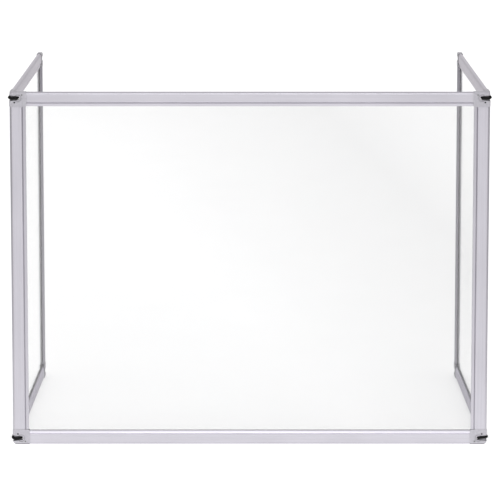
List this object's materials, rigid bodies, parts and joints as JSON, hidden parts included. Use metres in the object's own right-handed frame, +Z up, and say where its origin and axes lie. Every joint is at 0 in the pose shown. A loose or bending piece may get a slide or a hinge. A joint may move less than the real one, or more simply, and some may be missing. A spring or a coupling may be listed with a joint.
{
  "type": "sneeze guard",
  "caption": "Free-standing folding clear barrier: aluminium-framed front and side panels joined at the corners by rubber rings, to shield food or people at a counter.",
  "frame": {"origin": "centre of the footprint, on the surface that the barrier stands on", "axes": "+X along the front panel to the viewer's right, +Y from the front panel back along the side panels, +Z up; the front faces -Y"},
  "size_m": [1.2066, 0.8682, 0.9],
  "materials": {
    "frame_aluminium": "satin anodised, fine grain along each bar",
    "cap_plastic": "moulded light grey, fine texture",
    "clear_sheet": "clear, polished",
    "ring_rubber": "black, slightly glossy",
    "screw_steel": "dark, dull"
  },
  "bodies": {
    "front_panel": {"front_top_rail": "frame_aluminium", "front_bottom_rail": "frame_aluminium", "front_left_stile": "frame_aluminium", "front_right_stile": "frame_aluminium", "front_pane": "clear_sheet", "front_cap_top_left": "cap_plastic", "front_cap_top_right": "cap_plastic", "front_cap_bottom_left": "cap_plastic", "front_cap_bottom_right": "cap_plastic", "front_cap_screws": "screw_steel", "left_top_ring": "ring_rubber", "left_bottom_ring": "ring_rubber", "right_top_ring": "ring_rubber", "right_bottom_ring": "ring_rubber"},
    "left_panel": {"left_top_rail": "frame_aluminium", "left_bottom_rail": "frame_aluminium", "left_front_stile": "frame_aluminium", "left_rear_stile": "frame_aluminium", "left_pane": "clear_sheet", "left_cap_top_front": "cap_plastic", "left_cap_top_rear": "cap_plastic", "left_cap_bottom_front": "cap_plastic", "left_cap_bottom_rear": "cap_plastic", "left_cap_screws": "screw_steel"},
    "right_panel": {"right_top_rail": "frame_aluminium", "right_bottom_rail": "frame_aluminium", "right_front_stile": "frame_aluminium", "right_rear_stile": "frame_aluminium", "right_pane": "clear_sheet", "right_cap_top_front": "cap_plastic", "right_cap_top_rear": "cap_plastic", "right_cap_bottom_front": "cap_plastic", "right_cap_bottom_rear": "cap_plastic", "right_cap_screws": "screw_steel"}
  },
  "joints": [
    {"name": "left_swing", "type": "hinge", "parent": "front_panel", "child": "left_panel", "pos_m": [-0.5932, -0.40886, 0.45], "axis": [0, 0, -1], "range_deg": [-91.5, 88.5], "deforming": ["left_top_ring", "left_bottom_ring"]},
    {"name": "right_swing", "type": "hinge", "parent": "front_panel", "child": "right_panel", "pos_m": [0.5932, -0.40886, 0.45], "axis": [0, 0, 1], "range_deg": [-91.5, 85.8], "deforming": ["right_top_ring", "right_bottom_ring"]}
  ]
}
